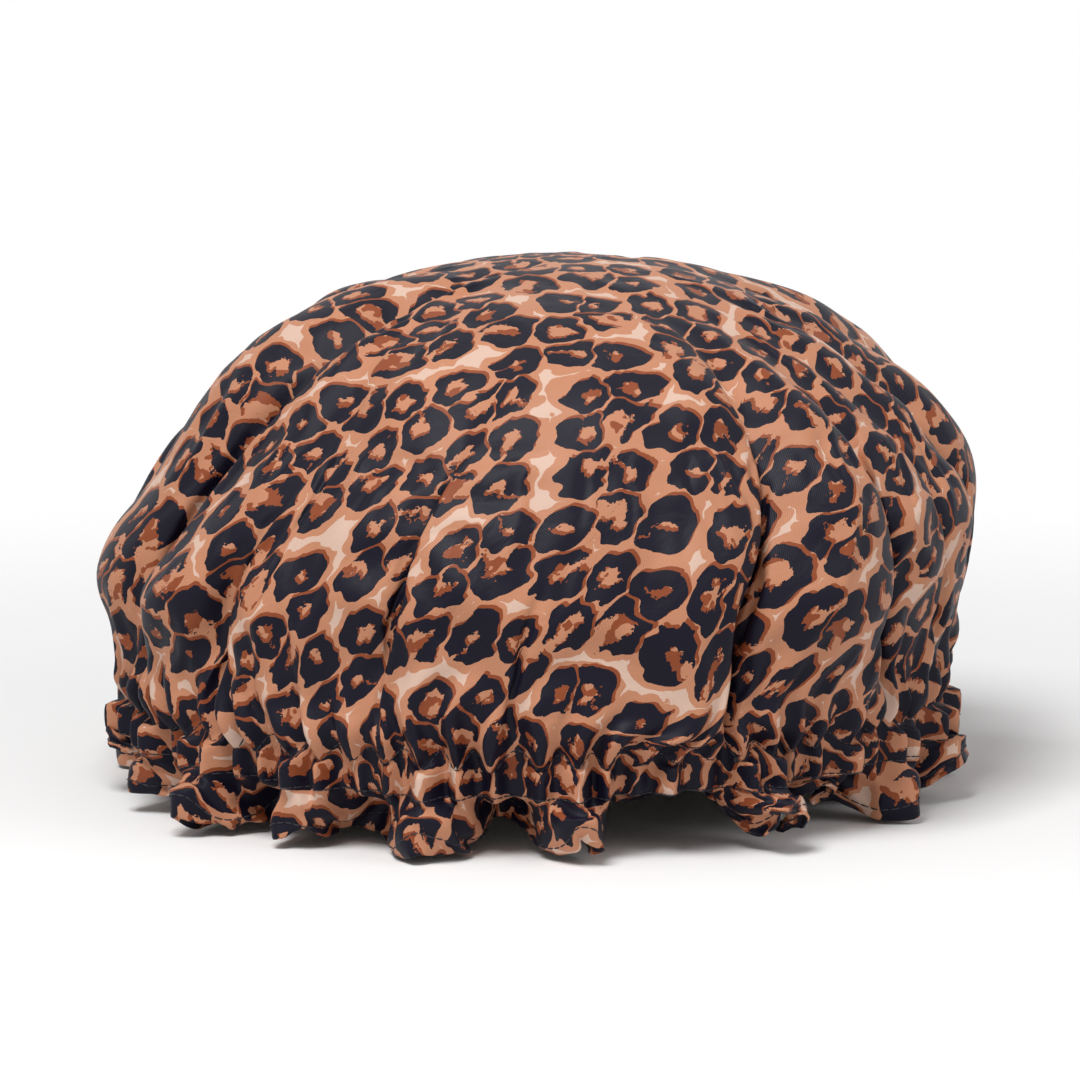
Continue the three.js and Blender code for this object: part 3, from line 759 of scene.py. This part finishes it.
def along_ring(values, place):
    """Values on a smooth closed curve through the ring's points; place counts points."""
    k = np.floor(place).astype(int)
    t = (place - k)[:, None]
    a, b, c, d = (values[(k + i) % len(values)] for i in (-1, 0, 1, 2))
    bend, twist = 2 * a - 5 * b + 4 * c - d, 3 * b - a - 3 * c + d
    return 0.5 * (2 * b + (c - a) * t + bend * t ** 2 + twist * t ** 3)


def tubes(name, lines, radius):
    """Round tubes of one thickness with closed ends, all in one piece."""
    points, faces = [], []
    for line in lines:
        first = len(points)
        ahead = np.gradient(line, axis=0)
        ahead /= np.linalg.norm(ahead, axis=1)[:, None]
        side = np.cross(ahead, (0.3, 0.2, 1.0))
        side /= np.linalg.norm(side, axis=1)[:, None]
        up = np.cross(side, ahead)
        for i in range(len(line)):
            for j in range(TUBE_SIDES):
                turn = math.tau * j / TUBE_SIDES
                points.append(line[i] + radius * (math.cos(turn) * side[i] + math.sin(turn) * up[i]))
        for i in range(len(line) - 1):
            faces += band_faces(first + i * TUBE_SIDES, first + (i + 1) * TUBE_SIDES, TUBE_SIDES)
        faces.append(tuple(range(first, first + TUBE_SIDES)))
        faces.append(tuple(range(len(points) - TUBE_SIDES, len(points)))[::-1])
    return new_piece(name, points, [face[::-1] for face in faces])


def stitch_row(name, flat_at, base, outward):
    """One row of stitches on a ring, arched off the base line and dipping into it at both ends."""
    number = round(math.tau * flat_at / STITCH)
    step = POINTS_ROUND / number
    share = np.linspace(0, 1, STITCH_POINTS)
    arch = -STITCH_DIP + (STITCH_LIFT + STITCH_DIP) * np.sin(math.pi * share) ** 0.5
    lines = []
    for i in range(number):
        place = (i + (1 - STITCH_GAP / STITCH) * share) * step
        lines.append(along_ring(base, place) + along_ring(outward, place) * arch[:, None])
    return tubes(name, lines, THREAD_RADIUS)


stitches = {}
for row, radius in (("upper", UPPER_ROW), ("lower", LOWER_ROW), ("hem", HEM_STITCH)):
    node = ("hem" if row == "hem" else row + "_row") + "_needle_thread"
    part = ring_slice(radius)
    stitches[node] = stitch_row(row + "_needle_stitches", radius, surface[part], facing[part])
hem_inside = surface[part] - facing[part] * FOLD_ROOM
stitches["hem_bobbin_thread"] = stitch_row("hem_bobbin_stitches", HEM_STITCH, hem_inside, -facing[part])
print("stitch rows:", {piece.name: len(piece.data.polygons) for piece in stitches.values()})

# %% [markdown]
# ## Tape
# A woven tape closes the channel on the inside. It was sewn to the flat cloth, so the elastic gathers it too:
# at its two rows of stitches it follows the pleats of the cloth, and between them it bulges inward
# round the elastic. It is swept from those two rows, and its own bobbin stitches lie on it.

# %% Tape
TAPE_WIDTH, TAPE_THICKNESS = 17 * MM, 0.3 * MM
TAPE_IN = 1.3 * MM
TAPE_CLEAR, TAPE_PLEAT_IN = 0.7 * MM, 2.6 * MM
TAPE_HEIGHTS = np.array([8.5, 7.0, 5.6, 3.6, 1.2, -1.2, -3.6, -5.6, -7.0, -8.5]) * MM
OVER_ELASTIC = 5.3 * MM
AT_BACK = math.pi - 0.20, math.pi - 0.12
upper_ring, lower_ring = ring_slice(UPPER_ROW), ring_slice(LOWER_ROW)
tape_top, tape_foot = (surface[ring] - facing[ring] * TAPE_IN for ring in (upper_ring, lower_ring))
turns = np.arctan2(tape_top[:, 0], -tape_top[:, 1])
oval = np.hypot(BAND_HALF_WIDTH * np.sin(turns), BAND_HALF_DEPTH * np.cos(turns))
pleat_out = np.hypot(*surface[upper_ring][:, :2].T) - oval
pleat_out = (pleat_out - pleat_out.min()) / (pleat_out.max() - pleat_out.min())
at_back = ease(*AT_BACK, np.abs(turns))
inward = ELASTIC_THICKNESS / 2 + TAPE_CLEAR + at_back * LAP_STEP_IN + TAPE_PLEAT_IN * (1 - pleat_out)
tape_rows, tape_flat, tape_faces = [], [], []
for height in TAPE_HEIGHTS:
    share = min(max((CHANNEL_HALF - height) / (2 * CHANNEL_HALF), 0), 1)
    sewn = tape_top * (1 - share) + tape_foot * share
    sewn[:, 2] += max(height - CHANNEL_HALF, 0) + min(height + CHANNEL_HALF, 0)
    clear = np.array([ring_point(math.degrees(t), i, height) for t, i in zip(turns, inward)])
    over = 1 - ease(OVER_ELASTIC, CHANNEL_HALF, abs(height))
    tape_rows.append(sewn * (1 - over) + clear * over)
    tape_flat.append(flat_points[upper_ring] * (1 - height / UPPER_ROW))
for k in range(len(tape_rows) - 1):
    tape_faces += band_faces(k * POINTS_ROUND, (k + 1) * POINTS_ROUND, POINTS_ROUND)
tape = new_piece("woven_tape", np.concatenate(tape_rows), tape_faces, np.concatenate(tape_flat))
thickness = tape.modifiers.new("thickness", "SOLIDIFY")
thickness.thickness = TAPE_THICKNESS
thickness.offset = 0

# %% Bobbin stitches on the tape
for row, radius, ring, line in (("upper", UPPER_ROW, upper_ring, tape_rows[1]),
                                ("lower", LOWER_ROW, lower_ring, tape_rows[-2])):
    on_tape, node = line - facing[ring] * (TAPE_THICKNESS / 2), row + "_row_bobbin_thread"
    stitches[node] = stitch_row(row + "_bobbin_stitches", radius, on_tape, -facing[ring])
print("stitch rows in all:", len(stitches))

# %% Zigzag that holds the elastic's lap
TACK_SWING, TACK_PITCH, TACK_TURNS = 5.5 * MM, 2.5 * MM, 4
TACK_OFF, TACK_DIP = 0.15 * MM, 0.35 * MM
tack_lines = []
degrees_per_metre = math.degrees(2 / (BAND_HALF_WIDTH + BAND_HALF_DEPTH))
corners = [((i - TACK_TURNS) * TACK_PITCH / 2 * degrees_per_metre + 180, TACK_SWING / 2 * (-1) ** i)
           for i in range(2 * TACK_TURNS + 1)]
for side in (ELASTIC_THICKNESS / 2 + LAP_STEP_IN + TACK_OFF, -ELASTIC_THICKNESS / 2 - TACK_OFF):
    for (a, low), (b, high) in zip(corners, corners[1:]):
        tack_lines.append(np.array([
            ring_point(a + (b - a) * s, side - math.copysign(TACK_DIP * abs(2 * s - 1) ** 6, side),
                       low + (high - low) * s) for s in np.linspace(0.02, 0.98, 7)]))
tack = tubes("lap_zigzag_stitches", tack_lines, THREAD_RADIUS)
print("zigzag strokes:", len(tack_lines))

# %% [markdown]
# ## Materials
# All patterns are worked out by nodes, so no image is needed. Effects that several finishes share, such as
# the woven lines and the soft crinkle, are node groups that give only colours, masks and heights, and
# each material keeps its own shader. The small helpers below add a node and set or link its sockets.


# %% Node helpers
def fill(node, sockets):
    """Sets a node's sockets to numbers or colours, or links them to other nodes' outputs."""
    for key, value in sockets.items():
        if isinstance(value, bpy.types.NodeSocket):
            node.id_data.links.new(value, node.inputs[key])
        else:
            node.inputs[key].default_value = value


def add(kind, sockets, tree=None, **settings):
    """The outputs of a new node. Without a tree it goes where the outputs that feed it are."""
    if tree is None:
        tree = next(value for value in sockets.values() if isinstance(value, bpy.types.NodeSocket)).id_data
    node = tree.nodes.new(kind)
    for key, value in settings.items():
        setattr(node, key, value)
    fill(node, sockets)
    return node.outputs


def calc(operation, *values):
    """The result of a math node."""
    return add("ShaderNodeMath", dict(enumerate(values)), operation=operation)[0]


def vector_calc(operation, vector, other):
    """The result of a vector math node; SCALE takes a number, and the rest take a vector."""
    key = "Scale" if operation == "SCALE" else 1
    return add("ShaderNodeVectorMath", {0: vector, key: other}, operation=operation)[0]


def mottle(vector, scale, detail, **more):
    """The outputs of a noise texture."""
    return add("ShaderNodeTexNoise", {"Vector": vector, "Scale": scale, "Detail": detail, **more})


def blend(share, under, over, how="MIX"):
    """Two colours in one; with MIX, the colour over shows where share is 1."""
    return add("ShaderNodeMix", {0: share, 6: under, 7: over}, data_type="RGBA", blend_type=how)[2]


def new_group(name, inputs, *outputs):
    """A shader node group, its inputs and its end node. An input without a number is a vector."""
    group = bpy.data.node_groups.new(name, "ShaderNodeTree")
    for label, value in inputs.items():
        kind = "NodeSocketVector" if value is None else "NodeSocketFloat"
        socket = group.interface.new_socket(name=label, in_out="INPUT", socket_type=kind)
        if value is not None:
            socket.default_value = value
    for label in outputs:
        kind = "NodeSocketColor" if label == "Color" else "NodeSocketFloat"
        group.interface.new_socket(name=label, in_out="OUTPUT", socket_type=kind)
    return group, group.nodes.new("NodeGroupInput").outputs, group.nodes.new("NodeGroupOutput")


def use_group(group, **sockets):
    """The outputs of a placed group; names of sockets have _ for a space."""
    named = {key.replace("_", " "): value for key, value in sockets.items()}
    return add("ShaderNodeGroup", named, node_tree=group)


def srgb(*values):
    """A colour as a picture editor shows it, 0 to 255, as linear light."""
    return (*((v / 255 / 12.92) if v <= 10 else ((v / 255 + 0.055) / 1.055) ** 2.4 for v in values), 1)


print("middle grey as linear light:", round(srgb(128)[0], 3))

# %% [markdown]
# ### Leopard print
# The spots of a leopard are rosettes: dark broken rings with a warmer middle, packed side by side. A Voronoi
# pattern packs cells in the same way. Each cell gets a ring that keeps clear of the cell's edge and is
# rounded off towards a circle, with a gap in a direction of its own, and noise frays the edges like brush
# strokes. The same rings, moved a little up and to the right and set below in brown, give the halo. Some
# hollows have a warm brown blotch, and where three cells meet there is a pale patch.

# %% Group: rosettes
SPACING = 17.5
# Sizes in cells: how far a ring reaches, its clearance, its rounding, its hole and its gap, which is closed
# where it comes out below 0
REACH, REACH_CHANCE = 0.46, 0.10
CLEARANCE, ROUNDING = 0.035, 0.17
HOLE, HOLE_CHANCE, HOLE_CLEARANCE = 0.11, 0.11, 0.17
GAP, GAP_CHANCE = -0.13, 0.36
FRAY_SHARE = 0.18
rosettes, given, result = new_group(
    "rosettes", {"Cut": None, "Spacing": SPACING, "Fray": 0.34, "Lumps": 6.0, "Wander": 4.0},
    "Mask", "Outline", "Hollow")


def shifted_by_noise(vector, noise_at, scale, detail, amount):
    """The vector moved by noise around zero."""
    colour = mottle(noise_at, scale, detail)["Color"]
    centred = vector_calc("SUBTRACT", colour, (0.5, 0.5, 0.5))
    return vector_calc("ADD", vector, vector_calc("SCALE", centred, amount))


lumpy = shifted_by_noise(given["Cut"], given["Cut"], 0.2, 0.4, given["Lumps"])
moved = shifted_by_noise(lumpy, given["Cut"], 0.07, 0.0, given["Wander"])
frayed = mottle(given["Cut"], 0.42, 2.5, Roughness=0.65)[0]
frayed = calc("MULTIPLY", calc("SUBTRACT", frayed, 0.5), given["Fray"])
cell_size = add("ShaderNodeCombineXYZ", {0: given["Spacing"], 1: given["Spacing"], 2: 1.0})[0]
packed = vector_calc("DIVIDE", moved, cell_size)
packing = {"Vector": packed, "Scale": 1.0, "Randomness": 0.54}
cells, rims = (add("ShaderNodeTexVoronoi", packing, voronoi_dimensions="2D", feature=kind)
               for kind in ("F1", "DISTANCE_TO_EDGE"))
chance = add("ShaderNodeSeparateColor", {0: cells["Color"]})
from_middle = vector_calc("SUBTRACT", packed, cells["Position"])
turned_by = calc("MULTIPLY", chance[0], math.tau)
spun = add("ShaderNodeVectorRotate", {"Vector": from_middle, "Angle": turned_by}, rotation_type="Z_AXIS")[0]
across = add("ShaderNodeSeparateXYZ", {0: spun})
print("group rosettes so far:", len(rosettes.nodes), "nodes")

# %% Rings, holes and gaps
reach = calc("MULTIPLY_ADD", chance[1], REACH_CHANCE, REACH)
reach = calc("SUBTRACT", reach, cells["Distance"])
ring_line = calc("SMOOTH_MIN", calc("SUBTRACT", rims["Distance"], CLEARANCE), reach, ROUNDING)
ring_line = calc("MULTIPLY_ADD", frayed, FRAY_SHARE, ring_line)
hole_size = calc("MULTIPLY_ADD", chance[2], HOLE_CHANCE, HOLE)
hole = calc("LESS_THAN", calc("ADD", cells["Distance"], frayed), hole_size)
hole = calc("MULTIPLY", calc("GREATER_THAN", rims["Distance"], HOLE_CLEARANCE), hole)
off_axis = calc("ADD", calc("ABSOLUTE", across[1]), frayed)
gap = calc("LESS_THAN", off_axis, calc("MULTIPLY_ADD", chance[1], GAP_CHANCE, GAP))
gap = calc("MULTIPLY", calc("GREATER_THAN", across[0], 0.0), gap)
hollow = calc("MAXIMUM", hole, gap)
mask = calc("MULTIPLY", calc("GREATER_THAN", ring_line, 0.0), calc("SUBTRACT", 1.0, hollow))
fill(result, {"Mask": mask, "Outline": ring_line, "Hollow": hollow})
print("group rosettes:", len(rosettes.nodes), "nodes")

# %% Group: leopard print
TAN, CREAM = srgb(190, 131, 100), srgb(212, 180, 162)
BROWN, NIGHT = srgb(138, 70, 40), srgb(10, 8, 26)
SHADES = 0.92, 1.08
HALO = (0.8, 1.1, 0.0)
WARM_FROM, WARM_INSIDE = 0.54, 0.02
PALE_BELOW, PALE_PATCHES = -0.175, 0.25
leopard, given, result = new_group("leopard print", {"Cut": None, "Spacing": SPACING}, "Color")
dark = use_group(rosettes, Cut=given["Cut"], Spacing=given["Spacing"])
shifted = vector_calc("SUBTRACT", given["Cut"], HALO)
halo = use_group(rosettes, Cut=shifted, Spacing=given["Spacing"])
blotch = calc("GREATER_THAN", mottle(given["Cut"], 0.14, 2.0)[0], WARM_FROM)
inside = calc("MULTIPLY", dark["Hollow"], calc("GREATER_THAN", dark["Outline"], WARM_INSIDE))
warm = calc("MULTIPLY", blotch, inside)
patch = calc("SUBTRACT", mottle(given["Cut"], 0.045, 1.0)[0], 0.5)
patch = calc("MULTIPLY", patch, PALE_PATCHES)
pale = calc("LESS_THAN", calc("SUBTRACT", dark["Outline"], patch), PALE_BELOW)
dim, bright = ((*(v * light for v in TAN[:3]), 1) for light in SHADES)
colour = blend(mottle(given["Cut"], 0.03, 2.0)[0], dim, bright)
colour = blend(pale, colour, CREAM)
colour = blend(calc("MAXIMUM", halo["Mask"], warm), colour, BROWN)
fill(result, {"Color": blend(dark["Mask"], colour, NIGHT)})
print("group leopard print:", len(leopard.nodes), "nodes")

# %% Group: twill weave
TWILL_SLANT = 0.8
# Painted sheen and shade: the woven lines make the colour lighter on their crests and darker between them.
RIB_SHEEN_BASE, RIB_SHEEN_SWING = 0.94, 0.12
twill, given, result = new_group(
    "twill weave", {"Cut": None, "Line Spacing": 0.7, "Slub": 0.3}, "Height", "Painted Rib Sheen")
flat_xyz = add("ShaderNodeSeparateXYZ", {0: given["Cut"]})
slant = calc("ADD", flat_xyz[0], calc("MULTIPLY", flat_xyz[1], TWILL_SLANT))
slant = calc("DIVIDE", slant, given["Line Spacing"])
yarn = calc("SUBTRACT", mottle(given["Cut"], 2.2, 1.0)[0], 0.5)
line = calc("MULTIPLY_ADD", yarn, given["Slub"], slant)
line = calc("SINE", calc("MULTIPLY", line, math.tau))
line = calc("MULTIPLY_ADD", line, 0.5, 0.5)
# This output is painted sheen and shade of the ribs: it scales the colour up on the crests and down in the
# grooves.
fill(result, {"Height": line, "Painted Rib Sheen": calc("MULTIPLY_ADD", line, RIB_SHEEN_SWING, RIB_SHEEN_BASE)})
print("group twill weave:", len(twill.nodes), "nodes")

# %% Group: crinkle
crinkle, given, result = new_group("crinkle", {"Vector": None, "Size": 8.0, "Sharpness": 0.5}, "Height")
scaled = vector_calc("SCALE", given["Vector"], calc("DIVIDE", 1.0, given["Size"]))
broad = mottle(scaled, 1.0, 3.0, Distortion=0.6)[0]
ridge = calc("ABSOLUTE", calc("SUBTRACT", broad, 0.5))
ridge = calc("MULTIPLY", ridge, given["Sharpness"])
fill(result, {"Height": calc("SUBTRACT", broad, ridge)})
print("group crinkle:", len(crinkle.nodes), "nodes")


# %% Printed cloth material
def new_material(name):
    """A material with its node tree and shader."""
    material = bpy.data.materials.new(name)
    material.use_nodes = True
    return material, material.node_tree, material.node_tree.nodes["Principled BSDF"]


def cut_in_mm(tree):
    """The flat cut as a vector in millimetres."""
    return vector_calc("SCALE", add("ShaderNodeUVMap", {}, tree, uv_map="cut_pattern")[0], CUT_SPAN / MM)


def bump(height, distance, strength, **below):
    """A bump node's normal; distance is the height of 1, in metres, and Normal a bump below it."""
    return add("ShaderNodeBump", {"Height": height, "Distance": distance, "Strength": strength, **below})[0]


printed, tree, shader = new_material("printed satin twill")
cut = cut_in_mm(tree)
print_colour = use_group(leopard, Cut=cut, Spacing=SPACING)["Color"]
weave = use_group(twill, Cut=cut, Line_Spacing=0.7, Slub=0.25)
creases = use_group(crinkle, Vector=cut, Size=16.0, Sharpness=0.6)["Height"]
# The print's colour is multiplied by the twill's painted sheen and shade, lighter on the crests of the woven
# lines.
fill(shader, {
    "Base Color": blend(1.0, print_colour, weave["Painted Rib Sheen"], "MULTIPLY"),
    "Roughness": calc("MULTIPLY_ADD", weave["Height"], 0.08, 0.44),
    "Normal": bump(weave["Height"], 0.05 * MM, 0.7, Normal=bump(creases, 0.9 * MM, 0.6)),
    "Specular IOR Level": 0.18, "Sheen Weight": 0.02, "Sheen Roughness": 0.4,
})
shell.data.materials.append(printed)
print("printed cloth:", len(tree.nodes), "nodes")

# %% Film material
film, tree, shader = new_material("milky film")
cut = cut_in_mm(tree)
creases = use_group(crinkle, Vector=cut, Size=5.0, Sharpness=1.2)["Height"]
fill(shader, {
    "Base Color": blend(mottle(cut, 0.04, 3.0)[0], srgb(214, 210, 204), srgb(236, 233, 228)),
    "Roughness": calc("MULTIPLY_ADD", creases, 0.2, 0.22), "Normal": bump(creases, 0.8 * MM, 0.7),
    "Coat Weight": 0.25, "Coat Roughness": 0.2,
})
lining.data.materials.append(film)
print("film:", len(tree.nodes), "nodes")


# %% Elastic, tape and thread materials
def object_in_mm(tree):
    """The place on the object as a vector in millimetres."""
    return vector_calc("SCALE", add("ShaderNodeTexCoord", {}, tree)["Object"], 1 / MM)


def yarn_material(name, place_of, lines, slub, mottling, low, high, relief, roughness):
    """A matt finish of woven, knitted or twisted yarn whose colour varies a little."""
    material, tree, shader = new_material(name)
    place = place_of(tree)
    yarns = use_group(twill, Cut=place, Line_Spacing=lines, Slub=slub)
    fill(shader, {"Base Color": blend(mottle(place, mottling, 2.0)[0], low, high),
                  "Normal": bump(yarns["Height"], relief * MM, 0.8), "Roughness": roughness})
    return material


# Each yarn: its name, where its lines lie, their spacing and slub, its mottling, two colours, relief in mm
# and roughness
YARNS = [
    ("knitted elastic", object_in_mm, 0.9, 0.5, 0.08, srgb(222, 218, 208), srgb(238, 235, 228), 0.12, 0.75),
    ("woven tape", cut_in_mm, 0.8, 0.35, 0.05, srgb(26, 25, 32), srgb(44, 42, 50), 0.08, 0.7),
    ("spun thread", object_in_mm, 0.3, 0.2, 0.4, srgb(18, 17, 24), srgb(38, 36, 48), 0.04, 0.55),
]
for yarn, pieces in zip(YARNS, ([elastic], [tape], [*stitches.values(), tack])):
    finish = yarn_material(*yarn)
    for piece in pieces:
        piece.data.materials.append(finish)
print("materials:", [material.name for material in bpy.data.materials])

# %% [markdown]
# ## Table and light
# The photograph has a plain white ground. The table here is a pale disc that fades out round the cap, so it
# catches the shadow close by and shows the white world further off. The world is white to the camera and
# in reflections, and lights the cap more gently, while two large soft lamps model the folds. From
# below the table is clear, so that the inside of the cap can be looked at.

# %% Table
TABLE_RADIUS, TABLE_STEPS = 0.9, 96
FADE_FROM, FADE_TO = 0.18, 0.55
table_points = [(0, 0, 0)]
for i in range(TABLE_STEPS):
    turn = math.tau * i / TABLE_STEPS
    table_points.append((TABLE_RADIUS * math.sin(turn), -TABLE_RADIUS * math.cos(turn), 0))
table = new_piece("table", table_points, faces_between(0, 1, 1, TABLE_STEPS), smooth=False)
pale_table, tree, shader = new_material("pale table")
where = add("ShaderNodeTexCoord", {}, tree)["Object"]
distance = add("ShaderNodeVectorMath", {0: where}, operation="LENGTH")["Value"]
shown = add("ShaderNodeMapRange", {0: distance, 1: FADE_FROM, 2: FADE_TO, 3: 1.0, 4: 0.0},
            interpolation_type="SMOOTHSTEP")[0]
above = calc("SUBTRACT", 1.0, add("ShaderNodeNewGeometry", {}, tree)["Backfacing"])
fill(shader, {"Base Color": (0.93, 0.93, 0.93, 1), "Roughness": 0.9, "Specular IOR Level": 0.1,
              "Alpha": calc("MULTIPLY", shown, above)})
table.data.materials.append(pale_table)
print("table radius in m:", TABLE_RADIUS)

# %% World
WORLD_LIGHT = 0.38
world = bpy.data.worlds.new("white studio")
bpy.context.scene.world = world
world.use_nodes = True
tree = world.node_tree
rays = add("ShaderNodeLightPath", {}, tree)
mirrored = calc("MAXIMUM", rays["Is Glossy Ray"], rays["Is Transmission Ray"])
seen = calc("MAXIMUM", rays["Is Camera Ray"], mirrored)
fill(tree.nodes["Background"], {
    "Color": (1, 1, 1, 1), "Strength": calc("MULTIPLY_ADD", seen, 1 - WORLD_LIGHT, WORLD_LIGHT)})
bpy.context.scene.view_settings.view_transform = "Standard"
print("world light:", WORLD_LIGHT)

# %% Lamps
# Each lamp: name, place in metres, watts, size in metres
LAMPS = [("key lamp", (-0.35, -0.8, 1.45), 22.0, 0.7), ("fill lamp", (1.2, -0.5, 0.7), 3.0, 0.8)]
for name, place, watts, size in LAMPS:
    lamp_data = bpy.data.lights.new(name, "AREA")
    lamp_data.energy, lamp_data.size = watts, size
    lamp = bpy.data.objects.new(name, lamp_data)
    lamp.location = place
    lamp.rotation_euler = (AIM - Vector(place)).to_track_quat("-Z", "Y").to_euler()
    bpy.context.collection.objects.link(lamp)
print("lamps:", [light.name for light in bpy.data.lights])

# %% [markdown]
# ## Tying the pieces to the CAD
# Every piece rides on the cap's one body and stands for its CAD nodes, which are hidden.

# %% Tie the pieces to the CAD
SLOTS = {
    shell: ("printed_cloth", "shell"), lining: ("lining_film", "lining"),
    elastic: ("elastic", "elastic_band"), tape: ("tape", "channel_tape"),
    tack: ("thread", "elastic_join_tack"),
}
SLOTS.update({piece: ("thread", node) for node, piece in stitches.items()})
for piece, (slot, node) in SLOTS.items():
    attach(piece, "root")
    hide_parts(node)
print("pieces:", len(SLOTS))
